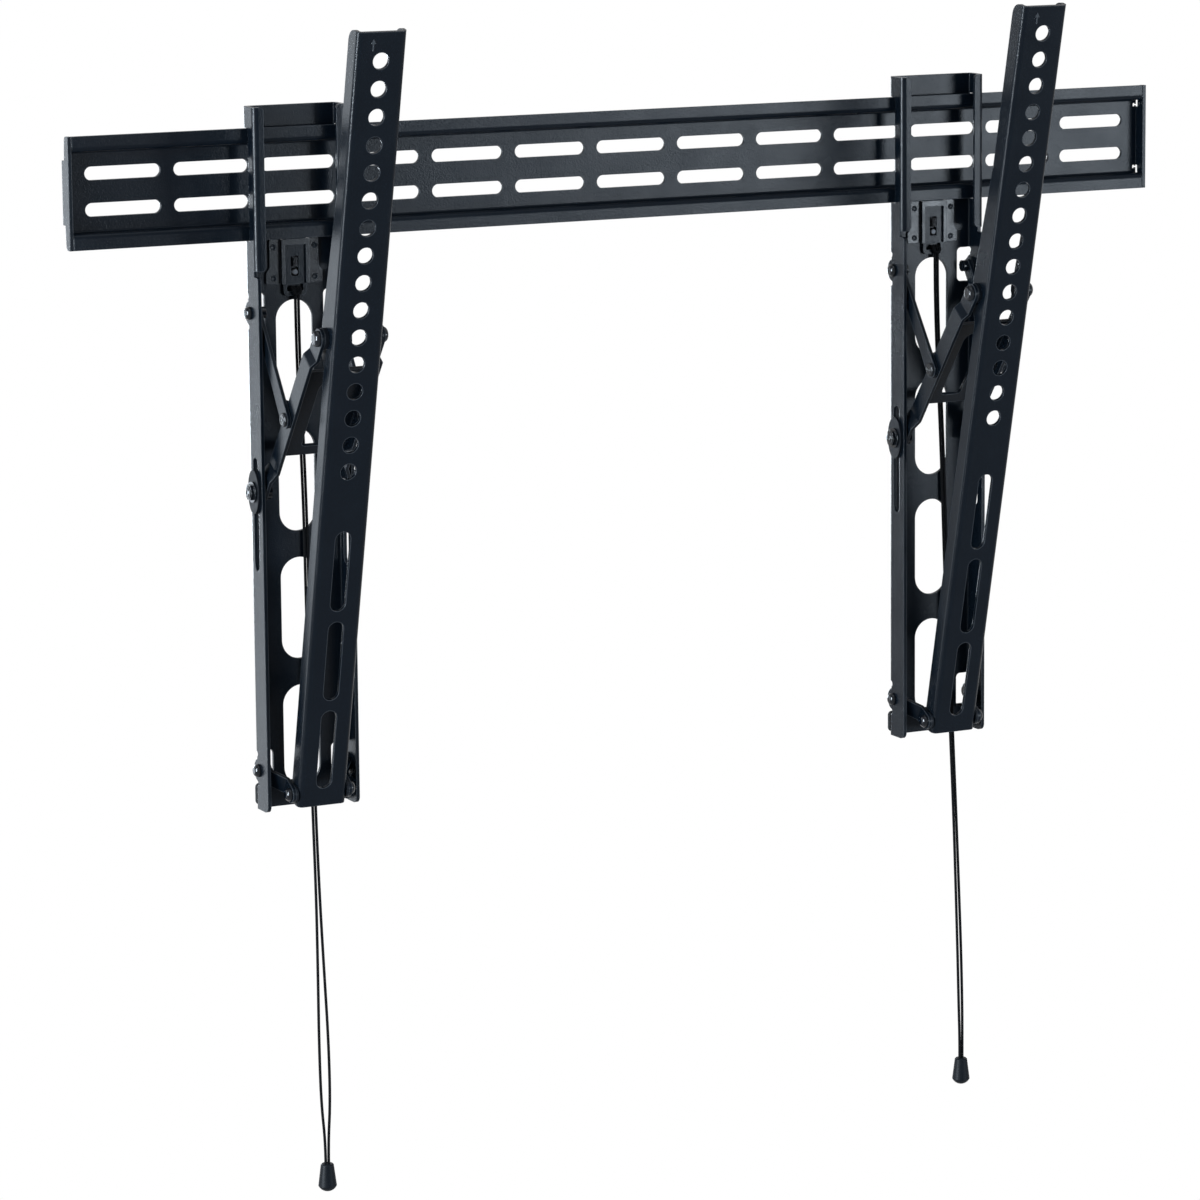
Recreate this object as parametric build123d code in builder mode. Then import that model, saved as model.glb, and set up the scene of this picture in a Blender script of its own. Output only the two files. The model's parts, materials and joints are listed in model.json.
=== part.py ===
from build123d import *
import math
import os

os.makedirs("parts", exist_ok=True)

# Frame: millimetres, +Z up, +X along the rail, the wall is the plane y = 0 and the screen side faces -Y.
# Sheet metal and clearances
sheet = 2.0
bend_in = 1.0
slide_gap = 0.15
link_gap = 0.4
arm_gap = 2.2
foot_gap = 1.3
pin_r = 2.5
pin_fit = 0.05

# Wall rail, a folded hat section
rail_length = 666.0
rail_height = 60.0
rail_depth = 9.5
rail_lip = 8.7
end_gap = 0.35
end_root = 17.0
slot_pitch = 50.0
slot_count = 13
slot_length = 42.6
slot_width = 7.2
row_spacing = 19.2

# Where the two brackets hang on the rail
left_x = -205.0
right_x = 191.0

# Bracket channel
channel_width = 54.0
channel_depth = 17.2
neck_depth = 15.1
neck_lip = 6.0
hook_rise = 11.5
channel_drop = 310.0
web_back = 3.0
neck_drop = 16.0
window_length = 55.8
window_width = 21.4
window_pitch = 70.2
window_count = 4
window_drop = 61.2

# Linkage, seen from the side at the tilt of the photograph
tilt = 13.0
pivot_back = 8.0
upper_pivot_drop = 39.0
lower_pivot_drop = 288.4
slide_back = 11.8
stay_length = 64.3
stay_angle = 34.15
stay_width = 9.5
stay_head_width = 7.2
yoke_below = 53.6
yoke_above = 58.6
yoke_width = 10.7
yoke_window = 13.0
yoke_bar = 6.3
link_length = 22.4
link_angle = 27.5
slider_slot = 61.6
slider_width = 6.7
plate_sheet = 1.6
liner_sheet = 1.0

# Screen arm
arm_width = 28.0
arm_length = 433.8
arm_foot = 6.5
arm_lead = 4.8
arm_flange = 10.5
arm_head = 11.4
arm_ear = 17.0
hole_d = 9.0
hole_pitch = 15.0
hole_rest = 20.0
first_hole = 15.5
arm_slot = 45.5
arm_slot_pitch = 51.7
arm_slot_count = 3
last_slot = 33.0

# Latch and pull cord
latch_width = 13.4
latch_sheet = 1.8
latch_reach = 3.9
latch_drop = 31.2
guide_width = 28.7
guide_sheet = 1.2
cord_d = 1.6
pull_top_d = 7.2
pull_foot_d = 10.2
pull_height = 15.6
pull_dome = 3.2
# how each cord lies: start beside the latch's middle, drift to the right, spread of the strands, extra fall
left_lie = (0.4, 3.4, 1.0, 5.3)
right_lie = (1.4, 10.4, 0.16, 0.0)

# Derived places
lip_z = rail_height / 2
lip_back = rail_depth - sheet
web_front = web_back + sheet
half = channel_width / 2
arm_half = arm_width / 2
inner = half - sheet
channel_top = lip_z + hook_rise
channel_foot = -lip_z - channel_drop
neck_end = -lip_z - neck_drop
web_head = -lip_z - 0.4
stay_out = inner - 1.6
stay_in = stay_out - sheet
yoke_out = stay_in - link_gap
yoke_in = yoke_out - sheet
yoke_foot_out = inner - liner_sheet - 0.1
yoke_head_out = arm_half + arm_gap + sheet
link_out = inner - 1.2
link_foot_out = arm_half + foot_gap + sheet
sin_t = math.sin(math.radians(tilt))
cos_t = math.cos(math.radians(tilt))

upper = Vector(-pivot_back, -lip_z - upper_pivot_drop)
lower = Vector(-pivot_back, -lip_z - lower_pivot_drop)
stay_turn = math.radians(stay_angle)
middle = upper + Vector(-math.sin(stay_turn), -math.cos(stay_turn)) * stay_length
yoke_turn = math.asin((-slide_back - middle.X) / yoke_below)
yoke_angle = math.degrees(yoke_turn)
yoke_way = Vector(-math.sin(yoke_turn), math.cos(yoke_turn))
slider = middle - yoke_way * yoke_below
head = middle + yoke_way * yoke_above
link_turn = math.radians(link_angle)
foot = lower + Vector(-math.cos(link_turn), -math.sin(link_turn)) * link_length
arm_way = Vector(-sin_t, cos_t)
arm_back = Vector(cos_t, sin_t)
head_up = (head - foot).dot(arm_way)
head_back = (head - foot).dot(arm_back)
arm_top = arm_length - arm_foot
yoke_reach = yoke_below + yoke_above
slots_end = last_slot + (arm_slot_count - 1) * arm_slot_pitch + arm_slot / 2
hole_count = int((arm_length - first_hole - slots_end - hole_rest) / hole_pitch) + 1


def side(x, at, angle):
    """A plane square to X through a point (y, z), its own y axis leaning forward by angle."""
    turn = math.radians(angle)
    lean = (0, math.cos(turn), math.sin(turn))
    return Plane(origin=(x, at.X, at.Y), x_dir=lean, z_dir=(1, 0, 0))


def across(x, at, angle):
    """A plane square to a leaning member, its own x axis along X and its y axis to the back."""
    turn = math.radians(angle)
    way = (0, -math.sin(turn), math.cos(turn))
    return Plane(origin=(x, at.X, at.Y), x_dir=(1, 0, 0), z_dir=way)


def facing(x, at, angle):
    """A plane on a leaning face seen from the front, its own y axis up the face."""
    turn = math.radians(angle)
    out = (0, -math.cos(turn), -math.sin(turn))
    return Plane(origin=(x, at.X, at.Y), x_dir=(1, 0, 0), z_dir=out)


def u_section(width, depth, open_front):
    """A folded U: two flanges and a web, with rounded bends. The web is at y = 0."""
    outer = Pos(0, depth / 2) * Rectangle(width, depth)
    outer = fillet(outer.vertices().group_by(Axis.Y)[0], bend_in + sheet)
    hollow = Pos(0, sheet + depth / 2) * Rectangle(width - 2 * sheet, depth)
    hollow = fillet(hollow.vertices().group_by(Axis.Y)[0], bend_in)
    shape = outer - hollow
    return Rot(0, 0, 180) * shape if open_front else shape


def c_section(width, depth, lip):
    """A folded U with its front edges returned inward. The web's back is at y = 0, the front at -depth."""
    outer = Pos(0, -depth / 2) * Rectangle(width, depth)
    outer = fillet(outer.vertices(), bend_in + sheet)
    hollow = Pos(0, -depth / 2) * Rectangle(width - 2 * sheet, depth - 2 * sheet)
    hollow = fillet(hollow.vertices(), bend_in)
    mouth = Pos(0, -depth) * Rectangle(width - 2 * lip, depth)
    return outer - hollow - mouth


def bar(first, last, r_first, r_last):
    """A flat link with two round ends, as a face."""
    round_a = Pos(*first) * Circle(r_first)
    round_b = Pos(*last) * Circle(r_last)
    return make_hull([*round_a.edges(), *round_b.edges()])


def save(solid, name):
    """Label a finished piece and write its file."""
    solid.label = name
    export_step(solid, "parts/" + name + ".step")


# Wall rail: the hat section, its rows of slots and the two closed ends
step_in = lip_z - rail_lip
hat = [
    (-rail_depth, lip_z),
    (-rail_depth, step_in),
    (-sheet, step_in),
    (-sheet, -step_in),
    (-rail_depth, -step_in),
    (-rail_depth, -lip_z),
    (-lip_back, -lip_z),
    (-lip_back, -step_in - sheet),
    (0, -step_in - sheet),
    (0, step_in + sheet),
    (-lip_back, step_in + sheet),
    (-lip_back, lip_z),
]
with BuildPart() as wall_rail:
    span = rail_length - 2 * sheet - 2 * end_gap
    with BuildSketch(Plane(origin=(-span / 2, 0, 0), x_dir=(0, 1, 0), z_dir=(1, 0, 0))):
        with BuildLine():
            Polyline(*hat, close=True)
        make_face()
        fillet([v for v in vertices() if abs(v.Y) < lip_z - 1 and v.X in (-lip_back, -sheet)], bend_in)
        fillet([v for v in vertices() if v.X in (-rail_depth, 0) and abs(v.Y) < lip_z - 1], bend_in + sheet)
    extrude(amount=span)
    with BuildSketch(Plane.XZ):
        Rectangle(rail_length, 2 * end_root)
        Rectangle(rail_length - 2 * sheet, 2 * step_in)
    extrude(amount=sheet)
    for end in (-1, 1):
        with BuildSketch(Plane(origin=(end * rail_length / 2, 0, 0), x_dir=(0, 1, 0), z_dir=(-end, 0, 0))):
            with BuildLine():
                Polyline(
                    (0, end_root),
                    (-3.4, end_root),
                    (-4.2, lip_z),
                    (-rail_depth, lip_z),
                    (-rail_depth, -lip_z),
                    (-4.2, -lip_z),
                    (-3.4, -end_root),
                    (0, -end_root),
                    close=True,
                )
            make_face()
            fillet([v for v in vertices() if abs(abs(v.Y) - lip_z) < 0.01 and v.X > -5], 2.4)
        extrude(amount=sheet)
    with BuildSketch(Plane.XZ):
        with GridLocations(slot_pitch, row_spacing, slot_count, 2):
            SlotOverall(slot_length, slot_width)
        # corner relief at the foot of each end
        with GridLocations(rail_length - 2 * sheet - 2.2, 2 * end_root + 2.2, 2, 2):
            RectangleRounded(2.2, 2.2, 0.7)
    extrude(amount=2 * sheet, both=True, mode=Mode.SUBTRACT)
save(wall_rail.part, "wall_rail")


def make_channel(name, x0):
    """The folded channel that hooks over the rail and carries every pivot of one bracket."""
    neck = c_section(channel_width, neck_depth, neck_lip)
    body = u_section(channel_width, channel_depth, True)
    waist = u_section(channel_width, neck_depth - 3.2, True)
    with BuildPart() as made:
        with BuildSketch(Plane(origin=(x0, -web_back, neck_end))):
            add(neck)
        extrude(amount=channel_top - neck_end)
        with BuildSketch(Plane(origin=(x0, -web_back, neck_end - 3.0))):
            add(waist)
        extrude(amount=3.0)
        with BuildSketch(Plane(origin=(x0, -web_back, channel_foot))):
            add(body)
        extrude(amount=neck_end - 3.0 - channel_foot)
        # round the free corners of the flanges and of the returned lips
        front = -web_back - channel_depth
        ends = made.edges().filter_by(lambda e: abs(e.length - sheet) < 0.01)
        fillet(ends.filter_by(lambda e: (e.center() - Vector(e.center().X, front, channel_foot)).length < 0.01), 4.0)
        ends = made.edges().filter_by(lambda e: abs(e.length - sheet) < 0.01)
        shoulder = neck_end - 3.0
        fillet(ends.filter_by(lambda e: (e.center() - Vector(e.center().X, front, shoulder)).length < 0.01), 2.4)
        lips = made.edges().filter_by(Axis.Y)
        lips = lips.filter_by(lambda e: abs(abs(e.center().X - x0) - half + neck_lip) < 0.01)
        fillet(lips, 2.4)
        # the rail passes behind the neck, so the flanges are cut back there and the hook plate stays
        rail_way = rail_depth + 0.5
        with BuildSketch(Plane.XZ.offset(-1.0)):
            with Locations((x0, (web_head + lip_z - 5.5) / 2)):
                Rectangle(channel_width + 2, lip_z - 5.5 - web_head)
            for hand in (-1, 1):
                with Locations((x0 + hand * half, (lip_z - 5.5 + lip_z + slide_gap) / 2)):
                    Rectangle(2 * sheet, 5.5 + slide_gap)
        extrude(amount=rail_way + 1.0, mode=Mode.SUBTRACT)
        # windows down the web and cut-outs beside the pivots
        with BuildSketch(Plane.XZ.offset(-1.0)):
            for n in range(window_count):
                with Locations((x0, -lip_z - window_drop - n * window_pitch)):
                    SlotOverall(window_length, window_width, rotation=90)
            for pivot in (upper, lower):
                for hand in (-1, 1):
                    with Locations((x0 + hand * (inner - 1.0), pivot.Y + 0.6)):
                        RectangleRounded(14.0, 19.6, 2.6)
        extrude(amount=web_front + bend_in + 1.05, mode=Mode.SUBTRACT)
        # ears round the pivots, with a relief notch above and below each
        for hand in (-1, 1):
            plane = side(x0 + hand * (half - sheet / 2), Vector(0, 0), 0)
            for pivot in (upper, lower):
                with BuildSketch(plane):
                    with Locations((pivot.X, pivot.Y)):
                        Circle(6.4)
                extrude(amount=sheet / 2, both=True)
                with BuildSketch(plane):
                    for rise in (-1, 1):
                        with Locations((-web_back + 1.0, pivot.Y + 0.6 + rise * 8.2)):
                            SlotOverall(10.0, 3.4)
                extrude(amount=sheet / 2 + 1.6, both=True, mode=Mode.SUBTRACT)
        # pivot holes and the slot that the clamp bolt slides in
        with BuildSketch(side(x0, Vector(0, 0), 0)):
            for pivot in (upper, lower):
                with Locations((pivot.X, pivot.Y)):
                    Circle(pin_r)
            with Locations((-slide_back, slider.Y - 12.4)):
                SlotOverall(slider_slot, slider_width, rotation=90)
        extrude(amount=channel_width, both=True, mode=Mode.SUBTRACT)
        # latch rivet hole
        with BuildSketch(Plane.XZ):
            with Locations((x0, latch_stop)):
                Circle(latch_pin)
        extrude(amount=web_front + 1, mode=Mode.SUBTRACT)
    save(made.part, name)


def make_stay(name, x0, hand):
    """A flat stay from the upper pivot down to the middle pivot."""
    x_face = x0 + hand * (stay_out + stay_in) / 2
    ends = bar((0, 0), (0, stay_length), stay_width / 2, stay_head_width / 2)
    with BuildPart() as made:
        with BuildSketch(side(x_face, middle, -stay_angle)):
            add(ends)
            with Locations((0, 0)):
                Circle(pin_r, mode=Mode.SUBTRACT)
            with Locations((0, stay_length)):
                Circle(pin_r + pin_fit, mode=Mode.SUBTRACT)
        extrude(amount=sheet / 2, both=True)
    save(made.part, name)


def make_yoke(name, x0):
    """A folded U open to the front: two joggled legs joined by a windowed web at the back."""
    back = yoke_width / 2
    web_low = yoke_below - 31.2
    web_high = yoke_below + 30.9
    window_low = web_low + yoke_bar
    window_high = web_high - 7.5
    with BuildPart() as made:
        # legs: foot, lower joggle, body, upper joggle, head, drawn from the front and cut to width after
        for hand in (-1, 1):
            foot_x = hand * (yoke_foot_out - sheet / 2)
            body_x = hand * (yoke_out - sheet / 2)
            head_x = hand * (yoke_head_out - sheet / 2)
            with BuildSketch(facing(x0, slider, yoke_angle).offset(-back)):
                with BuildLine() as leg:
                    FilletPolyline(
                        (foot_x, -back),
                        (foot_x, 11.0),
                        (body_x, 17.0),
                        (body_x, yoke_reach - 15.8),
                        (head_x, yoke_reach - 11.8),
                        (head_x, yoke_reach + back),
                        radius=1.6,
                    )
                trace(leg.line, line_width=sheet)
            extrude(amount=yoke_width)
        # round the leg ends from the side
        with BuildSketch(side(x0, slider, yoke_angle)):
            with Locations((0, yoke_reach / 2)):
                SlotOverall(yoke_reach + yoke_width, yoke_width, rotation=90)
        extrude(amount=half, both=True, mode=Mode.INTERSECT)
        # the web behind, with its window
        with BuildSketch(facing(x0, slider, yoke_angle).offset(-back)):
            with Locations((0, (web_low + web_high) / 2)):
                Rectangle(2 * yoke_out - sheet, web_high - web_low)
            with Locations((0, (window_low + window_high - yoke_window / 2) / 2)):
                RectangleRounded(yoke_window, window_high - window_low - yoke_window / 2, 2.6, mode=Mode.SUBTRACT)
            with Locations((0, (window_low + window_high + yoke_window / 2) / 2)):
                SlotOverall(window_high - window_low - yoke_window / 2, yoke_window, rotation=90, mode=Mode.SUBTRACT)
        extrude(amount=sheet)
        bends = made.edges().filter_by(lambda e: abs(e.length - (web_high - web_low)) < 0.01)
        fillet(bends.filter_by(lambda e: abs(abs(e.center().X - x0) - yoke_in) < 0.01), bend_in)
        # pivot holes
        with BuildSketch(side(x0, slider, yoke_angle)):
            for up in (0, yoke_below):
                with Locations((0, up)):
                    Circle(pin_r + pin_fit)
            with Locations((0, yoke_reach)):
                Circle(pin_r)
        extrude(amount=half, both=True, mode=Mode.SUBTRACT)
    save(made.part, name)


def make_link(name, x0, hand):
    """A short joggled link from the lower pivot to the foot of the arm."""
    outer_x = hand * (link_out - sheet / 2)
    inner_x = hand * (link_foot_out - sheet / 2)
    ends = bar((0, 0), (0, link_length), 4.6, 4.8)
    turn = 90 + link_angle
    with BuildPart() as made:
        with BuildSketch(facing(x0, lower, turn).offset(-7.0)):
            with BuildLine() as leg:
                FilletPolyline(
                    (outer_x, -7.0),
                    (outer_x, link_length * 0.30),
                    (inner_x, link_length * 0.66),
                    (inner_x, link_length + 7.0),
                    radius=1.4,
                )
            trace(leg.line, line_width=sheet)
        extrude(amount=14.0)
        with BuildSketch(side(x0, lower, turn)):
            add(ends)
        extrude(amount=half, both=True, mode=Mode.INTERSECT)
        with BuildSketch(side(x0, lower, turn)):
            Circle(pin_r + pin_fit)
            with Locations((0, link_length)):
                Circle(pin_r)
        extrude(amount=half, both=True, mode=Mode.SUBTRACT)
    save(made.part, name)


def make_arm(name, x0):
    """The screen arm: a folded U with a row of holes, three slots and ears at its pivots."""
    section = u_section(arm_width, arm_ear, False)
    low = -arm_foot
    with BuildPart() as made:
        with BuildSketch(across(x0, foot + arm_way * low - arm_back * arm_lead, tilt)):
            add(section)
        extrude(amount=arm_length)
        # side view of the flanges, intersected with the fold
        plane = side(x0, foot - arm_back * arm_lead, tilt)
        ear_low = head_up - 16.0
        with BuildSketch(plane):
            with BuildLine():
                Polyline(
                    (0, low),
                    (arm_flange, low),
                    (arm_flange, ear_low),
                    (arm_ear, head_up - 7.0),
                    (arm_ear, head_up + 7.0),
                    (arm_head, head_up + 75.0),
                    (arm_head, arm_top),
                    (0, arm_top),
                    close=True,
                )
            made_face = make_face()
            corners = made_face.vertices().group_by(Axis.X)
            fillet(made_face.vertices().filter_by(lambda v: abs(v.Y - low) < 0.01 and v.X > 1), 6.0)
        extrude(amount=arm_width, both=True, mode=Mode.INTERSECT)
        with BuildSketch(plane):
            with Locations((arm_head, arm_top)):
                Rectangle(14.0, 14.0)
            with Locations((arm_head - 7.0, arm_top - 7.0)):
                Circle(7.0, mode=Mode.SUBTRACT)
                Rectangle(14.0, 14.0, align=(Align.MAX, Align.CENTER), mode=Mode.SUBTRACT)
                Rectangle(14.0, 14.0, align=(Align.CENTER, Align.MAX), mode=Mode.SUBTRACT)
        extrude(amount=arm_width, both=True, mode=Mode.SUBTRACT)
        # holes and slots in the face
        with BuildSketch(facing(x0, foot - arm_back * arm_lead, tilt)):
            for n in range(hole_count):
                with Locations((0, arm_top - first_hole - n * hole_pitch)):
                    Circle(hole_d / 2)
            for n in range(arm_slot_count):
                with Locations((0, low + last_slot + n * arm_slot_pitch)):
                    SlotOverall(arm_slot, hole_d, rotation=90)
        extrude(amount=-2 * sheet, mode=Mode.SUBTRACT)
        # pivots
        with BuildSketch(plane):
            with Locations((arm_lead, 0)):
                Circle(pin_r + pin_fit)
            with Locations((arm_lead + head_back, head_up)):
                Circle(pin_r + 1.4)
        extrude(amount=arm_width, both=True, mode=Mode.SUBTRACT)
    save(made.part, name)


def washer_pair(name, x0, x_out, x_in, at, r_out):
    """Two plain round washers, one on each side of the bracket, pressed on their rivets."""
    with BuildPart() as made:
        for hand in (-1, 1):
            with BuildSketch(side(x0 + hand * (x_out + x_in) / 2, at, 0)):
                Circle(r_out)
                Circle(pin_r, mode=Mode.SUBTRACT)
            extrude(amount=(x_out - x_in) / 2, both=True)
    save(made.part, name)


def rivet_pair(name, x0, seat, tail, at, head_r, crown, tail_r, closing):
    """The same rivet on both sides of the bracket, as one node of two solids."""
    with BuildPart() as made:
        for hand in (-1, 1):
            with BuildSketch(side(x0 + hand * (seat + tail) / 2, at, 0)):
                Circle(pin_r)
            extrude(amount=(seat - tail) / 2, both=True)
            with BuildSketch(side(x0 + hand * (seat + crown / 2), at, 0)):
                Circle(head_r)
            extrude(amount=crown / 2, both=True)
            with BuildSketch(side(x0 + hand * (tail - closing / 2), at, 0)):
                Circle(tail_r)
            extrude(amount=closing / 2, both=True)
        rims = made.edges().filter_by(GeomType.CIRCLE)
        rims = rims.filter_by(lambda e: abs(abs(e.arc_center.X - x0) - seat - crown) < 0.01)
        fillet(rims, 0.85 * crown)
    save(made.part, name)


latch_foot = -lip_z - latch_drop
latch_head = -lip_z + latch_reach
latch_stop = -lip_z - 18.4
latch_pin = 2.0
slot_low = latch_stop - latch_pin - 0.2
slot_high = latch_stop + latch_pin + 6.7
latch_back = web_front + 0.2
latch_front = latch_back + latch_sheet
window_z = latch_foot + 4.4
spring_foot = latch_stop + latch_pin + 0.5
guide_head = -lip_z - 0.4
guide_foot = guide_head - 24.2


def make_latch(side_name, x0):
    """The sliding latch, the guide that holds it to the web, its stop rivet and its spring."""
    with BuildPart() as plate:
        with BuildSketch(Plane(origin=(x0, -latch_back, 0), x_dir=(1, 0, 0), z_dir=(0, -1, 0))):
            with Locations((0, (latch_foot + latch_head) / 2)):
                RectangleRounded(latch_width, latch_head - latch_foot, 2.6)
            with Locations((0, (slot_low + slot_high) / 2)):
                RectangleRounded(2 * latch_pin + 0.4, slot_high - slot_low, 0.8, mode=Mode.SUBTRACT)
            with Locations((0, window_z)):
                RectangleRounded(9.6, 3.8, 0.8, mode=Mode.SUBTRACT)
        extrude(amount=latch_sheet)
    save(plate.part, side_name + "_latch_plate")

    top = latch_front + slide_gap + guide_sheet
    wall = latch_width / 2 + slide_gap
    mid = (guide_head + guide_foot) / 2
    with BuildPart() as guide:
        with BuildSketch(Plane(origin=(x0, -web_front, 0), x_dir=(1, 0, 0), z_dir=(0, -1, 0))):
            with BuildLine():
                Polyline(
                    (-guide_width / 2, guide_head),
                    (guide_width / 2, guide_head),
                    (guide_width / 2, guide_foot + 9.0),
                    (guide_width / 2 + 2.1, guide_foot + 6.0),
                    (guide_width / 2 + 2.1, guide_foot),
                    (-guide_width / 2 - 2.1, guide_foot),
                    (-guide_width / 2 - 2.1, guide_foot + 6.0),
                    (-guide_width / 2, guide_foot + 9.0),
                    close=True,
                )
            make_face()
            fillet(vertices(), 1.2)
        extrude(amount=guide_sheet)
        with BuildSketch(Plane(origin=(x0, -web_front, 0), x_dir=(1, 0, 0), z_dir=(0, -1, 0))):
            with Locations((0, mid)):
                Rectangle(2 * (wall + guide_sheet), guide_head - guide_foot)
        extrude(amount=top - web_front)
        with BuildSketch(Plane(origin=(x0, -web_front, 0), x_dir=(1, 0, 0), z_dir=(0, -1, 0))):
            with Locations((0, mid)):
                Rectangle(2 * wall, guide_head - guide_foot)
        extrude(amount=top - web_front - guide_sheet, mode=Mode.SUBTRACT)
        with BuildSketch(Plane(origin=(x0, -web_front, 0), x_dir=(1, 0, 0), z_dir=(0, -1, 0))):
            with Locations((0, guide_head - 3.3)):
                Rectangle(2 * wall - 1.6, guide_head - guide_foot, align=(Align.CENTER, Align.MAX))
        extrude(amount=top - web_front, mode=Mode.SUBTRACT)
    save(guide.part, side_name + "_latch_guide")

    with BuildPart() as stop:
        with BuildSketch(Plane(origin=(x0, -web_back, 0), x_dir=(1, 0, 0), z_dir=(0, -1, 0))):
            with Locations((0, latch_stop)):
                Circle(latch_pin)
        extrude(amount=latch_front + 0.5 - web_back)
        fillet(stop.edges().filter_by(GeomType.CIRCLE).sort_by(Axis.Y)[0], 0.9)
    save(stop.part, side_name + "_latch_rivet")

    spring_y = -latch_back - 2.3
    with BuildPart() as spring:
        with BuildSketch(Plane(origin=(x0, spring_y, spring_foot))):
            Circle(latch_pin - 0.2)
            Circle(latch_pin - 0.8, mode=Mode.SUBTRACT)
        extrude(amount=slot_high - 0.1 - spring_foot)
    save(spring.part, side_name + "_latch_spring")


def cord_route(x0, hand, lie):
    """Route of one strand from the latch window to the pull, as points of a gently waving line."""
    start, drift, sway, fall = lie
    x1 = x0 + start + hand * 0.9
    wide = hand * sway
    lead = -latch_front - 1.0
    calm = -web_front - 1.3
    return [
        (x1, lead, window_z - 3.6),
        (x1, lead, window_z - 24.0),
        (x1 + 0.12 * drift + 1.15, calm, window_z - 64.0),
        (x1 + 0.30 * drift + 2.3, calm + 0.1, window_z - 120.0),
        (x1 + 0.47 * drift + 1.6, calm - 1.3, window_z - 176.0),
        (x1 + 0.63 * drift + 0.8, calm - 3.6, window_z - 232.0),
        (x1 + 0.78 * drift, calm - 6.2, window_z - 284.0),
        (x1 + 0.88 * drift + 0.1 * wide, calm - 8.6, window_z - 334.0),
        (x1 + 0.93 * drift + 1.0 * wide, calm - 10.7, window_z - 378.0),
        (x1 + 0.97 * drift + 1.9 * wide, calm - 12.3, window_z - 414.0),
        (x1 + 0.99 * drift + 1.8 * wide, calm - 13.4, window_z - 446.0 - 0.5 * fall),
        (x1 + drift, calm - 13.9, window_z - 466.0 - 0.8 * fall),
        (x1 + drift, calm - 13.9, window_z - 477.7 - fall),
    ]


def make_strand(name, route):
    """A plain tube along one strand: straight runs and tangent arcs as large as the runs allow."""
    points = [Vector(*p) for p in route]
    radii = []
    for a, b, c in zip(points, points[1:], points[2:]):
        turn = math.radians((b - a).get_angle(c - b))
        radii.append(0.45 * min((b - a).length, (c - b).length) / math.tan(turn / 2))
    print(name, "bend radii", [round(r) for r in radii], "least", round(min(radii), 1))
    with BuildPart() as made:
        with BuildLine() as way:
            FilletPolyline(*points, radius=radii)
        with BuildSketch(Plane(origin=way.line @ 0, z_dir=way.line % 0)):
            Circle(cord_d / 2)
        sweep()
    print(name, "length", round(way.wires()[0].length, 1), "volume", round(made.part.volume, 1))
    save(made.part, name)


def make_pull(side_name, x0):
    """The cord, hitched through the latch window, and the bell that is pulled."""
    lie = left_lie if x0 < 0 else right_lie
    for hand, word in ((-1, "a"), (1, "b")):
        make_strand(side_name + "_pull_cord_" + word, cord_route(x0, hand, lie))
    end = cord_route(x0, 0, lie)[-1]
    knot_x = x0 + lie[0]
    with BuildPart() as knot:
        with BuildSketch(Plane(origin=(knot_x, -latch_front, window_z), x_dir=(1, 0, 0), z_dir=(0, -1, 0))):
            RectangleRounded(6.0, 7.2, 2.0)
        extrude(amount=2.0)
        with BuildSketch(Plane(origin=(knot_x, -latch_back, window_z), x_dir=(1, 0, 0), z_dir=(0, -1, 0))):
            RectangleRounded(6.0, 3.2, 0.8)
        extrude(amount=latch_sheet)
    save(knot.part, side_name + "_cord_hitch")
    dome_r = ((pull_foot_d / 2) ** 2 + pull_dome**2) / (2 * pull_dome)
    dome_half = math.asin(pull_foot_d / 2 / dome_r) / 2
    with BuildPart() as bell:
        with BuildSketch(Plane(origin=(end[0], end[1], end[2]), x_dir=(1, 0, 0), z_dir=(0, -1, 0))):
            with BuildLine():
                Polyline(
                    (0, -pull_height),
                    (0, 0),
                    (pull_top_d / 2 - 0.6, 0),
                    (pull_top_d / 2, -0.6),
                    (pull_foot_d / 2, -pull_height + pull_dome),
                )
                ThreePointArc(
                    (pull_foot_d / 2, -pull_height + pull_dome),
                    (dome_r * math.sin(dome_half), -pull_height + dome_r * (1 - math.cos(dome_half))),
                    (0, -pull_height),
                )
            make_face()
        revolve(axis=Axis((end[0], end[1], 0), (0, 0, 1)))
    save(bell.part, side_name + "_cord_pull")


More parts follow.
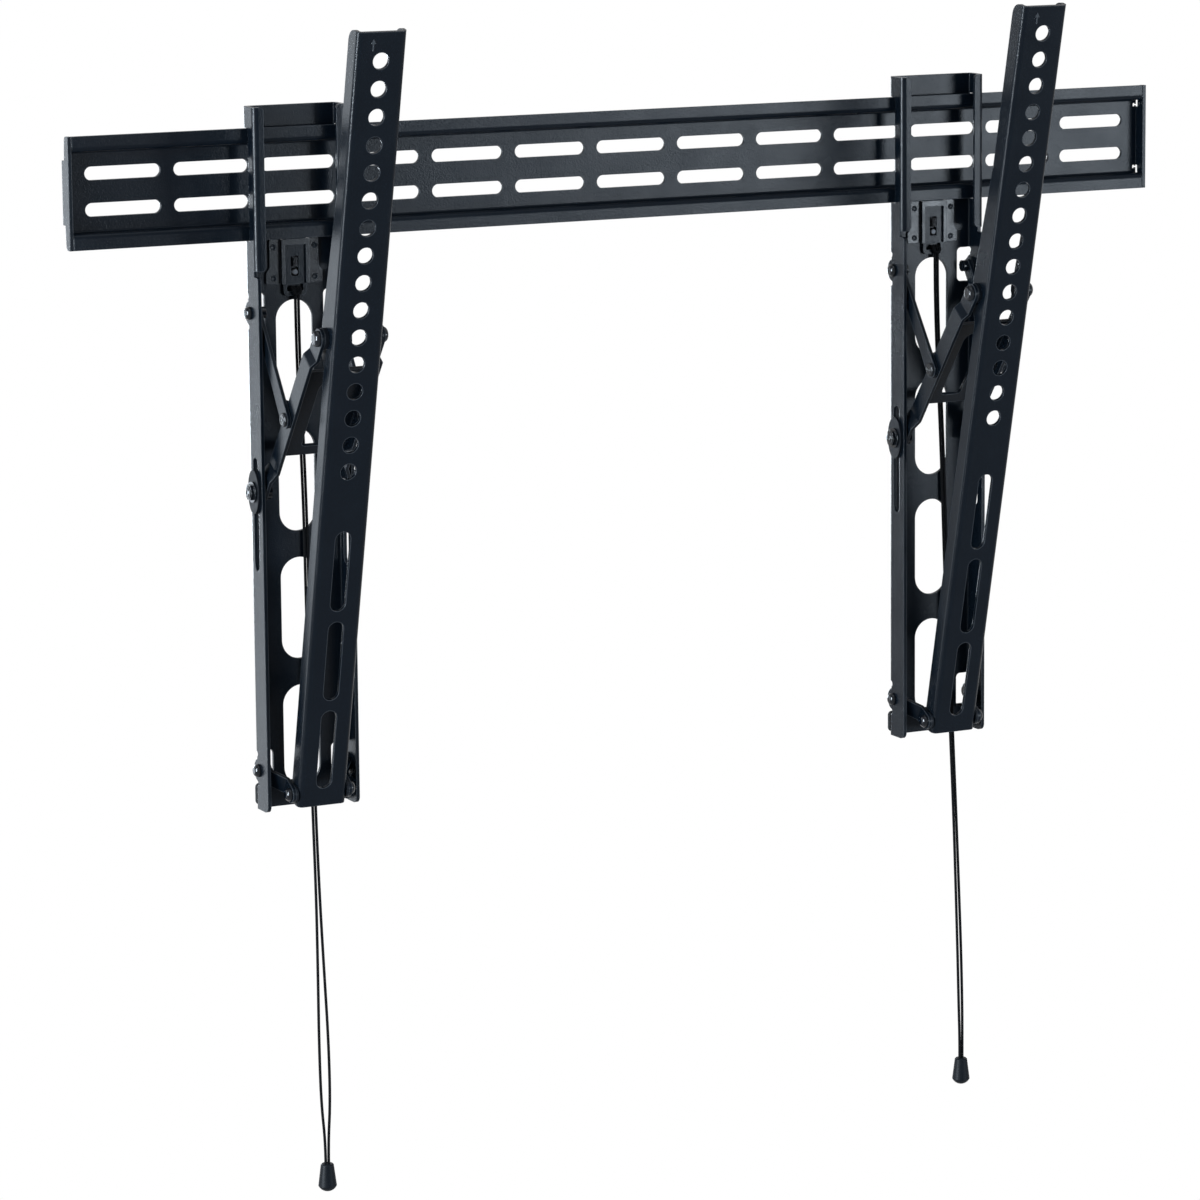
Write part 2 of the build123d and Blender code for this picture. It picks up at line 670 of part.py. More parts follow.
def make_clamp(side_name, x0):
    """The friction clamp at the foot of the yoke: oval plates, flanged nuts and bolts on both sides."""
    plate_out = half + plate_sheet
    nut_out = plate_out + 2.8
    bolt_in = yoke_foot_out - sheet - slide_gap
    bolt_out = nut_out + 0.4
    with BuildPart() as plates:
        for hand in (-1, 1):
            with BuildSketch(side(x0 + hand * (half + plate_out) / 2, slider, 0)):
                Ellipse(7.2, 12.0)
                Circle(pin_r, mode=Mode.SUBTRACT)
            extrude(amount=plate_sheet / 2, both=True)
            with BuildSketch(side(x0 + hand * (inner - liner_sheet / 2), slider, 0)):
                Ellipse(5.4, 9.0)
                Circle(pin_r, mode=Mode.SUBTRACT)
            extrude(amount=liner_sheet / 2, both=True)
    save(plates.part, side_name + "_slide_plates")
    with BuildPart() as nuts:
        for hand in (-1, 1):
            with BuildSketch(side(x0 + hand * (plate_out + 0.5), slider, 0)):
                Circle(5.7)
                Circle(pin_r, mode=Mode.SUBTRACT)
            extrude(amount=0.5, both=True)
            with BuildSketch(side(x0 + hand * (plate_out + nut_out) / 2, slider, 0)):
                RegularPolygon(4.0, 6, major_radius=False)
                Circle(pin_r, mode=Mode.SUBTRACT)
            extrude(amount=(nut_out - plate_out) / 2, both=True)
    save(nuts.part, side_name + "_clamp_nuts")
    with BuildPart() as bolts:
        for hand in (-1, 1):
            with BuildSketch(side(x0 + hand * (bolt_in + bolt_out) / 2, slider, 0)):
                Circle(pin_r)
            extrude(amount=(bolt_out - bolt_in) / 2, both=True)
            with BuildSketch(side(x0 + hand * (bolt_in - 1.4), slider, 0)):
                Circle(4.4)
            extrude(amount=1.4, both=True)
    save(bolts.part, side_name + "_clamp_bolts")


def make_pad(side_name, x0):
    """The bumper behind the foot of the channel that keeps the bracket off the wall."""
    with BuildPart() as pad:
        with BuildSketch(Plane(origin=(x0, 0, channel_foot + 7.2), x_dir=(1, 0, 0), z_dir=(0, -1, 0))):
            RectangleRounded(channel_width - 1.0, 12.0, 2.4)
        extrude(amount=web_back)
        fillet(pad.faces().sort_by(Axis.Y)[-1].edges(), 1.2)
    save(pad.part, side_name + "_wall_pad")


for side_name, x0 in (("left", left_x), ("right", right_x)):
    make_channel(side_name + "_channel", x0)
    make_pad(side_name, x0)
    for word, hand in (("a", -1), ("b", 1)):
        make_stay(side_name + "_stay_" + word, x0, hand)
        make_link(side_name + "_foot_link_" + word, x0, hand)
    make_yoke(side_name + "_yoke", x0)
    make_arm(side_name + "_arm", x0)
    arm_tail = arm_half - sheet
    rivet_pair(side_name + "_upper_rivets", x0, half, stay_in, upper, 3.6, 3.0, 3.2, 3.0)
    rivet_pair(side_name + "_middle_rivets", x0, stay_out, yoke_in - 0.1, middle, 3.8, 1.2, 2.7, 1.0)
    rivet_pair(side_name + "_arm_rivets", x0, yoke_head_out, arm_tail - 0.2, head, 4.3, 2.8, 4.6, 1.2)
    rivet_pair(side_name + "_lower_rivets", x0, half, link_out - sheet - 0.1, lower, 3.6, 3.0, 3.4, 1.0)
    rivet_pair(side_name + "_foot_rivets", x0, link_foot_out, arm_tail - 0.3, foot, 3.7, 2.8, pin_r, 0.5)
    washer_pair(side_name + "_upper_washers", x0, inner, stay_out + 0.1, upper, 5.0)
    washer_pair(side_name + "_lower_washers", x0, inner, link_out + 0.1, lower, 5.0)
    washer_pair(side_name + "_arm_spacers", x0, yoke_head_out - sheet, arm_half + 0.1, head, 5.6)
    washer_pair(side_name + "_foot_washers", x0, link_foot_out - sheet, arm_half + 0.1, foot, 4.8)
    make_clamp(side_name, x0)
    make_latch(side_name, x0)
    make_pull(side_name, x0)

pivots = {"upper": upper, "middle": middle, "slider": slider, "head": head, "lower": lower, "foot": foot}
for word, at in pivots.items():
    print(word, "pivot y", round(at.X, 4), "z", round(at.Y, 4))
print("yoke angle", round(yoke_angle, 4))
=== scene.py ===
# %% [markdown]
# # Tilting wall bracket, dressed in Blender
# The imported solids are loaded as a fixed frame. Each solid keeps its shape and gets a finish. The small pieces that
# the solids only stand in for, or leave out, are modelled here: the cords and their hitches, the latch springs, the
# nut collars, the stamped rivet faces, the weld dimples of the latch guides and the arrows on the arms.

# %% Load the frame
import bpy
import json
import math
from mathutils import Matrix, Vector


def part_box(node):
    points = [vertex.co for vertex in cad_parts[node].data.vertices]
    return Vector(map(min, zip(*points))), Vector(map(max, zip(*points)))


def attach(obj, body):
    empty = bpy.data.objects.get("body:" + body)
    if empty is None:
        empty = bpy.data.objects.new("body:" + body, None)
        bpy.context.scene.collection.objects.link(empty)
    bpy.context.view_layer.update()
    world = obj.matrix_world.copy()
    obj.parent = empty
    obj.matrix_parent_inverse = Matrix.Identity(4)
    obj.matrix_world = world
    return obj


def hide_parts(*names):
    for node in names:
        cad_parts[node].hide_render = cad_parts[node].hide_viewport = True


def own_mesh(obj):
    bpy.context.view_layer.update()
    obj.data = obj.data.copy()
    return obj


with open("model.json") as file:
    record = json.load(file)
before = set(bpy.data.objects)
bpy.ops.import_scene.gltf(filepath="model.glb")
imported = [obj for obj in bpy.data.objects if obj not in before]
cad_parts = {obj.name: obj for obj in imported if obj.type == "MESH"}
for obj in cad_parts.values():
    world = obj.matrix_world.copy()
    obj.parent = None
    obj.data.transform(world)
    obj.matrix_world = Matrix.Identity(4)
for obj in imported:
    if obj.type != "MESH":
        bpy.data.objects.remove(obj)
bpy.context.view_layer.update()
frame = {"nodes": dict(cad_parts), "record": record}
nodes = frame["nodes"]
bpy.ops.object.select_all(action="DESELECT")
MM = 0.001
SIDES = (("left", -205.0), ("right", 191.0))  # each bracket and the middle of its width, in millimetres
HANDS = ((-1, "a"), (1, "b"))  # the two sides of one bracket

# %% [markdown]
# ## Camera
# The view is from the left of the bracket and a little above it, through a long lens. A camera could be placed by
# eye, but here its place, its turn and its lens were worked out from the rail's slots and the arms' holes, so that
# the frame agrees with the photograph. The shift only sets the framing.

# %% Camera
PICTURE = 1200  # pixels
SENSOR = 36.0
FOCAL = 4851.6  # pixels
SHIFT = (-60.0, -144.0)  # pixels
EYE = (-1.2112, -2.3971, 0.2444)
YAW, PITCH, ROLL = (math.radians(angle) for angle in (27.142, -8.665, -0.416))
cam_data = bpy.data.cameras.new("view")
cam_data.sensor_width = SENSOR
cam_data.lens = FOCAL / PICTURE * SENSOR
cam_data.shift_x, cam_data.shift_y = (pixels / PICTURE for pixels in SHIFT)
cam_data.clip_end = 50.0
cam = bpy.data.objects.new("view", cam_data)
bpy.context.scene.collection.objects.link(cam)
look = Vector((math.sin(YAW) * math.cos(PITCH), math.cos(YAW) * math.cos(PITCH), math.sin(PITCH)))
level = Vector((math.cos(YAW), -math.sin(YAW), 0.0))
upright = level.cross(look)
right = level * math.cos(ROLL) + upright * math.sin(ROLL)
up = upright * math.cos(ROLL) - level * math.sin(ROLL)
cam.matrix_world = Matrix.Translation(EYE) @ Matrix((right, up, -look)).transposed().to_4x4()
bpy.context.scene.camera = cam
print("lens", round(cam_data.lens, 1), "mm")

# %% [markdown]
# ## The surface group
# Every finish on this bracket has three things in common: a fine grain, slow changes of gloss, and edges that are
# slightly rounded and catch the light. They are built once as a node group, and each material places the group with
# its own values. The Bevel node rounds the edges in the shading only, so the solids stay as they are. An occlusion
# node that looks into the metal finds the outer edges, and there a paler colour is painted on as a highlight.


# %% Surface group
def wire(tree, *rows):
    """Link nodes, one row for each link: a node and its output, then a node and its input."""
    for source, output, target, entry in rows:
        tree.links.new(source.outputs[output], target.inputs[entry])


def make_surface_group():
    """A group that puts out a roughness, a slow mask, a mask for painted edge highlights and a normal with rounded
    edges and grain.
    """
    group = bpy.data.node_groups.new("coated_surface", "ShaderNodeTree")
    values = {
        "Grain Scale": 2000.0, "Cloud Scale": 45.0, "Gloss Low": 0.35, "Gloss High": 0.45,
        "Grain Height": 0.1, "Edge Radius": 0.0005, "Edge Share": 0.5,
    }
    for name, value in values.items():
        group.interface.new_socket(name, in_out="INPUT", socket_type="NodeSocketFloat").default_value = value
    for name, kind in (("Roughness", "Float"), ("Mask", "Float"), ("Edge", "Float"), ("Normal", "Vector")):
        group.interface.new_socket(name, in_out="OUTPUT", socket_type="NodeSocket" + kind)
    add = group.nodes.new
    given = add("NodeGroupInput")
    result = add("NodeGroupOutput")
    place = add("ShaderNodeTexCoord")
    grain = add("ShaderNodeTexNoise")
    grain.inputs["Detail"].default_value = 2.0
    cloud = add("ShaderNodeTexNoise")
    cloud.inputs["Detail"].default_value = 3.0
    gloss = add("ShaderNodeMapRange")
    gloss.inputs["From Min"].default_value = 0.3
    gloss.inputs["From Max"].default_value = 0.7
    edge = add("ShaderNodeBevel")
    edge.samples = 6
    rise = add("ShaderNodeBump")
    rise.inputs["Distance"].default_value = 0.0002
    # The occlusion node finds the outer edges, and the map range turns it into the mask of a painted highlight.
    inward = add("ShaderNodeAmbientOcclusion")
    inward.inside = True
    inward.only_local = True
    inward.samples = 6
    painted_highlight_mask = add("ShaderNodeMapRange")
    painted_highlight_mask.inputs["From Min"].default_value = 0.95
    painted_highlight_mask.inputs["From Max"].default_value = 0.55
    wire(
        group,
        (place, "Object", grain, "Vector"),
        (place, "Object", cloud, "Vector"),
        (given, "Grain Scale", grain, "Scale"),
        (given, "Cloud Scale", cloud, "Scale"),
        (cloud, "Fac", gloss, "Value"),
        (given, "Gloss Low", gloss, "To Min"),
        (given, "Gloss High", gloss, "To Max"),
        (given, "Edge Radius", edge, "Radius"),
        (given, "Edge Radius", inward, "Distance"),
        (inward, "AO", painted_highlight_mask, "Value"),
        (given, "Edge Share", painted_highlight_mask, "To Max"),
        (edge, "Normal", rise, "Normal"),
        (grain, "Fac", rise, "Height"),
        (given, "Grain Height", rise, "Strength"),
        (gloss, "Result", result, "Roughness"),
        (cloud, "Fac", result, "Mask"),
        (painted_highlight_mask, "Result", result, "Edge"),
        (rise, "Normal", result, "Normal"),
    )
    return group


surface = make_surface_group()
print("group", surface.name, len(surface.nodes), "nodes")

# %% [markdown]
# ## Materials
# The steel has a satin black powder coat: almost black, with a cold tint. The fasteners are glossier, the plastic and
# the rubber are duller, and the latch's rivet and spring are plated steel, with their colour made dark to paint the
# shade they sit in. What is the same all over a surface, such as the specular level, is set on the shader itself.


# %% Coated materials
def coated(name, dark, light, edge, spec, metal=0.0, **values):
    """A material on the surface group: two close colours, an edge colour as a painted highlight, a specular level and
    the group's values.
    """
    mat = bpy.data.materials.new(name)
    mat.use_nodes = True
    tree = mat.node_tree
    shader = tree.nodes["Principled BSDF"]
    shader.inputs["Specular IOR Level"].default_value = spec
    shader.inputs["Metallic"].default_value = metal
    skin = tree.nodes.new("ShaderNodeGroup")
    skin.node_tree = surface
    for key, value in values.items():
        skin.inputs[key.replace("_", " ").title()].default_value = value
    blend = tree.nodes.new("ShaderNodeMix")
    blend.data_type = "RGBA"
    blend.inputs["A"].default_value = (*dark, 1)
    blend.inputs["B"].default_value = (*light, 1)
    # The edge colour is a painted highlight, mixed over the outer edges by the group's edge mask.
    rim = tree.nodes.new("ShaderNodeMix")
    rim.data_type = "RGBA"
    rim.inputs["B"].default_value = (*edge, 1)
    wire(
        tree,
        (skin, "Mask", blend, "Factor"),
        (blend, "Result", rim, "A"),
        (skin, "Edge", rim, "Factor"),
        (rim, "Result", shader, "Base Color"),
        (skin, "Roughness", shader, "Roughness"),
        (skin, "Normal", shader, "Normal"),
    )
    mat.diffuse_color = (*light, 1)
    return mat


# The edge colour of each finish is a painted highlight on its outer edges.
steel = coated(
    "black_steel", dark=(0.0022, 0.0043, 0.0074), light=(0.0034, 0.0062, 0.0100), edge=(0.05, 0.056, 0.064),
    spec=0.075, grain_scale=1200.0, gloss_low=0.22, gloss_high=0.28, grain_height=0.4, edge_radius=0.0005,
    edge_share=0.8,
)
gloss = coated(
    "rivet_black", dark=(0.002, 0.003, 0.005), light=(0.003, 0.005, 0.008), edge=(0.02, 0.022, 0.025),
    spec=0.22, grain_scale=700.0, cloud_scale=300.0, gloss_low=0.08, gloss_high=0.14, grain_height=0.05,
    edge_radius=0.0003,
)
# The plated steel's colour is made dark as painted shade, for the shade that the rivet and spring sit in.
plated = coated(
    "bright_steel", dark=(0.02, 0.022, 0.025), light=(0.05, 0.053, 0.058), edge=(0.10, 0.105, 0.11),
    spec=0.5, metal=1.0, grain_scale=900.0, cloud_scale=500.0, gloss_low=0.38, gloss_high=0.50, grain_height=0.05,
    edge_radius=0.0002,
)
nylon = coated(
    "black_nylon", dark=(0.0030, 0.0046, 0.0070), light=(0.0046, 0.0066, 0.0098), edge=(0.014, 0.016, 0.019),
    spec=0.06, grain_scale=1800.0, gloss_low=0.42, gloss_high=0.52, grain_height=0.08, edge_radius=0.0004,
)
rubber = coated(
    "black_rubber", dark=(0.006, 0.007, 0.008), light=(0.010, 0.011, 0.013), edge=(0.016, 0.017, 0.019),
    spec=0.1, grain_scale=1500.0, gloss_low=0.6, gloss_high=0.75, grain_height=0.4, edge_radius=0.0006,
)
guide_steel = coated(
    "guide_steel", dark=(0.0022, 0.0040, 0.0068), light=(0.0040, 0.0066, 0.0100), edge=(0.05, 0.056, 0.064),
    spec=0.16, grain_scale=1200.0, cloud_scale=110.0, gloss_low=0.18, gloss_high=0.32, grain_height=0.3,
    edge_share=0.8,
)
print("coated", [m.name for m in (steel, gloss, plated, nylon, rubber, guide_steel)])

# %% [markdown]
# The cords are a tight black braid. A diagonal wave is enough at this size: it lifts the strands of the braid a
# little, and the same wave paints shade into the grooves between them as a darker colour.

# %% Braid
braid = bpy.data.materials.new("black_cord")
braid.use_nodes = True
braid.diffuse_color = (0.01, 0.01, 0.012, 1)
tree = braid.node_tree
shader = tree.nodes["Principled BSDF"]
shader.inputs["Roughness"].default_value = 0.85
shader.inputs["Specular IOR Level"].default_value = 0.05
where = tree.nodes.new("ShaderNodeTexCoord")
weave = tree.nodes.new("ShaderNodeTexWave")
weave.wave_type = "BANDS"
weave.bands_direction = "DIAGONAL"
weave.inputs["Scale"].default_value = 420.0
weave.inputs["Distortion"].default_value = 1.5
lift = tree.nodes.new("ShaderNodeBump")
lift.inputs["Strength"].default_value = 0.3
lift.inputs["Distance"].default_value = 0.0003
# The grooves of the wave get the darker colour: painted shade.
shade = tree.nodes.new("ShaderNodeMix")
shade.data_type = "RGBA"
shade.inputs["A"].default_value = (0.002, 0.002, 0.0025, 1)
shade.inputs["B"].default_value = (0.005, 0.0055, 0.0065, 1)
wire(
    tree,
    (where, "Object", weave, "Vector"),
    (weave, "Fac", lift, "Height"),
    (weave, "Fac", shade, "Factor"),
    (shade, "Result", shader, "Base Color"),
    (lift, "Normal", shader, "Normal"),
)
print("braid", braid.name)

# %% [markdown]
# Each solid takes the finish that its record names. Only the two latch guides get a skin of their own: they are
# pressed from thin sheet and keep more of its sheen under the coat, in patches.

# %% Dress the solids
LOOKS = {
    "black_steel": steel,
    "rivet_black": gloss,
    "bright_steel": plated,
    "black_nylon": nylon,
    "black_rubber": rubber,
    "black_cord": braid,
}
slot_of = {s["node"]: s["material_slot"] for s in frame["record"]["subparts"]}
for name, obj in nodes.items():
    obj.data.materials.clear()
    obj.data.materials.append(guide_steel if name.endswith("_latch_guide") else LOOKS[slot_of[name]])
print("dressed", len(nodes), "nodes")

# %% [markdown]
# ## Helpers for the small pieces
# The small pieces are made in two ways. Nut collars, bolt tips, rivet faces and dimples are turned: a disc is
# extruded step by step along its axis, and every new ring is scaled to its own radius. Cords, knots and coils are
# round wires on a curve. A finished piece keeps its place in its mesh, rides on a body of the bracket and takes the
# material of its slot.


# %% Helpers
def alone(obj=None):
    """Leave edit mode and select nothing, or one object only."""
    if bpy.context.object and bpy.context.object.mode != "OBJECT":
        bpy.ops.object.mode_set(mode="OBJECT")
    bpy.ops.object.select_all(action="DESELECT")
    if obj:
        obj.select_set(True)
        bpy.context.view_layer.objects.active = obj


def settle(obj, name, slot, body):
    """Put the place of a piece into its mesh, smooth it, name it, dress it and let it ride."""
    alone(obj)
    bpy.ops.object.transform_apply(location=True, rotation=True, scale=True)
    bpy.ops.object.mode_set(mode="EDIT")
    bpy.ops.mesh.select_all(action="SELECT")
    bpy.ops.mesh.remove_doubles(threshold=1e-6)
    bpy.ops.mesh.normals_make_consistent(inside=False)
    bpy.ops.object.mode_set(mode="OBJECT")
    bpy.ops.object.shade_smooth_by_angle(angle=math.radians(35))
    obj.name = name
    obj.data.name = name
    obj.data.materials.clear()
    obj.data.materials.append(LOOKS[slot])
    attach(obj, body)
    return obj


def turned(place, axis, rings, sides=28):
    """A turned piece from rings of (rise, radius) in millimetres along an axis."""
    alone()
    place, axis = Vector(place) * MM, Vector(axis).normalized()
    rise, radius = rings[0]
    lean = axis.to_track_quat("Z", "Y").to_euler()
    bpy.ops.mesh.primitive_circle_add(
        vertices=sides, radius=radius * MM, fill_type="NGON", location=place + axis * rise * MM, rotation=lean)
    obj = bpy.context.active_object
    bpy.ops.object.transform_apply(location=True, rotation=True, scale=True)
    bpy.ops.object.mode_set(mode="EDIT")
    bpy.ops.mesh.select_all(action="SELECT")
    for next_rise, next_radius in rings[1:]:
        step = axis * (next_rise - rise) * MM
        bpy.ops.mesh.extrude_region_move(TRANSFORM_OT_translate={"value": step})
        share = next_radius / radius
        centre = place + axis * next_rise * MM
        bpy.ops.transform.resize(value=(share, share, share), center_override=centre)
        rise, radius = next_rise, next_radius
    bpy.ops.object.mode_set(mode="OBJECT")
    return obj


def joined(parts):
    """Several new pieces as one object."""
    alone()
    for part in parts:
        part.select_set(True)
    bpy.context.view_layer.objects.active = parts[0]
    bpy.ops.object.join()
    return bpy.context.view_layer.objects.active


def round_wire(name, kind, points, radius, fineness):
    """A round wire on a curve through points in metres, with its radius in millimetres."""
    curve = bpy.data.curves.new(name, "CURVE")
    curve.dimensions = "3D"
    curve.bevel_depth = radius * MM
    curve.bevel_resolution = fineness
    curve.resolution_u = 6
    curve.use_fill_caps = True
    line = curve.splines.new(kind)
    line.points.add(len(points) - 1)
    for point, place in zip(line.points, points):
        point.co = (*place, 1)
    if kind == "NURBS":
        line.order_u = 3
        line.use_endpoint_u = True
    obj = bpy.data.objects.new(name, curve)
    bpy.context.scene.collection.objects.link(obj)
    return obj


def as_mesh(obj):
    """A curve turned into a mesh."""
    alone(obj)
    bpy.ops.object.convert(target="MESH")
    return bpy.context.view_layer.objects.active


print("helpers ready")

# %% [markdown]
# ## Pull cords
# Each latch is released by a thin braided cord. It hangs in two strands from the latch's window, down the front of
# the web, to a small bell. A curve through a few points is the simplest cord: it bends smoothly and can still be
# edited. The points are those of the solids, so the cords hang where the part says.


# %% Pull cords
CORD_RADIUS = 0.8
STRAND_ASIDE = 0.9
WINDOW_Z = -56.8
# each cord's start beside the bracket's middle, drift to the right, spread of its strands and extra fall
LIES = {"left": (0.4, 3.4, 1.0, 5.3), "right": (1.4, 10.4, 0.16, 0.0)}
# for each point: the share of the drift, a step to the right, the share of the spread, y, the drop below the window
# and the share of the extra fall
ROUTE = (
    (0.00, 0.00, 0.0, -8.0, 3.6, 0.0),
    (0.00, 0.00, 0.0, -8.0, 24.0, 0.0),
    (0.12, 1.15, 0.0, -6.3, 64.0, 0.0),
    (0.30, 2.30, 0.0, -6.2, 120.0, 0.0),
    (0.47, 1.60, 0.0, -7.6, 176.0, 0.0),
    (0.63, 0.80, 0.0, -9.9, 232.0, 0.0),
    (0.78, 0.00, 0.0, -12.5, 284.0, 0.0),
    (0.88, 0.00, 0.1, -14.9, 334.0, 0.0),
    (0.93, 0.00, 1.0, -17.0, 378.0, 0.0),
    (0.97, 0.00, 1.9, -18.6, 414.0, 0.0),
    (0.99, 0.00, 1.8, -19.7, 446.0, 0.5),
    (1.00, 0.00, 0.0, -20.2, 466.0, 0.8),
    (1.00, 0.00, 0.0, -20.2, 477.7, 1.0),
)


def cord_route(x0, hand, lie):
    """Points of one strand, in millimetres, as in the solids."""
    start, drift, spread, fall = lie
    top = x0 + start + hand * STRAND_ASIDE
    return [
        (top + along * drift + step + wide * hand * spread, y, WINDOW_Z - drop - late * fall)
        for along, step, wide, y, drop, late in ROUTE
    ]


def strand(name, route):
    """A smooth braided cord on points in millimetres."""
    obj = round_wire(name, "NURBS", [[v * MM for v in place] for place in route], CORD_RADIUS, 3)
    obj.data.materials.append(braid)
    return obj


cords = {}
for side, x0 in SIDES:
    for hand, word in HANDS:
        route = cord_route(x0, hand, LIES[side])
        piece = strand(side + "_cord_" + word, route)
        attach(piece, side + "_latch")
        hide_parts(side + "_pull_cord_" + word)
        cords[side, word] = piece, route[0]
print("cords", sorted(piece.name for piece, _ in cords.values()))

# %% [markdown]
# ## Hitches
# At the latch each cord is looped through the window and back over its own strands, the knot that is called a lark's
# head. A block holds its place in the solids. Here it is a loop that comes out of the window, turns round in front of
# the strands and goes back in, and the two strand ends that pass under it. All three are tubes that become meshes.

# %% Hitches
LOOP = (
    (-2.2, -6.2, 0.2), (-2.3, -8.2, -0.6), (-2.0, -8.9, -2.6), (0, -9.9, -3.6),
    (2.0, -8.9, -2.6), (2.3, -8.2, -0.6), (2.2, -6.2, 0.2),
)
ENDS = [
    ((hand * STRAND_ASIDE, -8.0, -3.6), (hand * STRAND_ASIDE, -7.8, -1.0), (hand * STRAND_ASIDE, -6.2, 0.3))
    for hand, _ in HANDS
]


def hitch(name, middle):
    """A lark's head in the latch's window, from three short tubes."""
    routes = [[(middle + x, y, WINDOW_Z + z) for x, y, z in points] for points in (LOOP, *ENDS)]
    return joined([as_mesh(strand(name, route)) for route in routes])


for side, x0 in SIDES:
    name = side + "_hitch"
    knot = settle(hitch(name, x0 + LIES[side][0]), name, "black_cord", side + "_latch")
    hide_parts(side + "_cord_hitch")
    for _, word in HANDS:
        piece, top = cords[side, word]
    print(name, len(knot.data.polygons), "faces")

# %% [markdown]
# ## Latch springs
# A small coil spring pushes each latch up. A plain tube holds its place in the solids. The coil is a round wire
# wound on the tube's own box.

# %% Latch springs
TURNS = 6.5
TURN_STEPS = 14
WIRE_RADIUS = 0.35
WIRE_ROOM = 0.01
COIL_END = 0.4


def wound(name, low, high):
    """A coil inside a box, as a mesh."""
    last = int(TURNS * TURN_STEPS)
    middle = (low + high) / 2
    ring = (high.x - low.x) / 2 - (WIRE_RADIUS + WIRE_ROOM) * MM
    points = []
    for i in range(last + 1):
        share = i / last
        angle = share * TURNS * 2 * math.pi
        height = low.z + COIL_END * MM + share * (high.z - low.z - 2 * COIL_END * MM)
        points.append((middle.x + ring * math.cos(angle), middle.y + ring * math.sin(angle), height))
    return as_mesh(round_wire(name, "POLY", points, WIRE_RADIUS, 2))


for side, _ in SIDES:
    low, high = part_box(side + "_latch_spring")
    name = side + "_latch_coil"
    coil = settle(wound(name, low, high), name, "bright_steel", side + "_bracket")
    bpy.ops.object.shade_smooth()
    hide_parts(side + "_latch_spring")
    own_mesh(coil)
    print(name, len(coil.data.polygons), "faces")

# %% [markdown]
# ## Turned details
# The rivets at the middle pivot are set with a ring-shaped punch, which leaves a raised ring and a small crown. The
# clamp's nuts have a thin locking collar, and the bolt's tip shows in it. All are turned pieces, so the helper makes
# each from a few rings, and both sides of a bracket get their own.

# %% Turned details
# y and z of the two pivots, and how far the rivet's and the nut's faces stand from the bracket's middle
MIDDLE = (-44.0955, -122.2128)
SLIDER = (-11.8, -164.9908)
RIVET_FACE = 24.6
NUT_FACE = 31.4
# rise and radius of each ring
PUNCHED = ((0, 2.9), (0.3, 2.7), (0.3, 1.9), (0.05, 1.7), (0.05, 0.9), (0.35, 0.7))
COLLAR = ((0, 3.6), (0.35, 3.4), (0.5, 3.0), (0.5, 2.55), (0.1, 2.5))
TIP = ((0, 2.48), (0.55, 2.48), (0.85, 2.1), (0.85, 1.2), (0.55, 1.0))
details = []
for side, x0 in SIDES:
    for hand, word in HANDS:
        axis = (hand, 0, 0)
        face = turned((x0 + hand * RIVET_FACE, *MIDDLE), axis, PUNCHED)
        details.append(settle(face, side + "_punched_face_" + word, "rivet_black", side + "_stays"))
        seat = (x0 + hand * NUT_FACE, *SLIDER)
        collar = joined([turned(seat, axis, COLLAR), turned(seat, axis, TIP)])
        details.append(settle(collar, side + "_nut_collar_" + word, "rivet_black", side + "_clamp"))
print("turned details", len(details))

# %% [markdown]
# ## Weld dimples
# Each latch guide is spot welded to the web at its four corners. A weld leaves a shallow dimple with a raised rim. It
# could be painted on, but a small turned ring catches the light as the real one does.

# %% Weld dimples
DIMPLE = ((-1.0, 1.7), (0.1, 1.7), (0.3, 1.45), (0.3, 1.15), (0.1, 0.8), (0.08, 0.4))
WING_FRONT = -6.2
WELDS = [(across, height) for across in (-11.95, 11.95) for height in (-34.6, -51.4)]
for side, x0 in SIDES:
    spots = [turned((x0 + across, WING_FRONT, height), (0, -1, 0), DIMPLE) for across, height in WELDS]
    dimples = settle(joined(spots), side + "_weld_dimples", "black_steel", side + "_bracket")
    print(dimples.name, len(WELDS))

# %% [markdown]
# ## Arrows on the arms
# A small arrow near the head of each arm shows which end goes up. It is stamped, so it stands a little proud of the
# face. The arrow starts as a flat plane on the arm's sloping face. Its upper edge is extruded three times and scaled
# to draw the stem and the head, and the whole outline is then extruded off the face.

# %% Arrows on the arms
TILT = math.radians(13)
ARM_UP = Vector((0, -math.sin(TILT), math.cos(TILT)))
ARM_OUT = Vector((0, -math.cos(TILT), -math.sin(TILT)))
ARM_FACE = 4.8
ARM_FOOT = Vector((0, -27.869, -328.7432)) + ARM_OUT * ARM_FACE
ARM_TOP = 427.3
ARROW_ASIDE = -5.0
ARROW_DROP = 9.6
STEM = 0.9
ARROW_STEPS = ((2.9, 1.0), (0.0, 3.4), (2.6, 0.06))  # rise of the edge and how much wider it gets
PROUD = 0.25


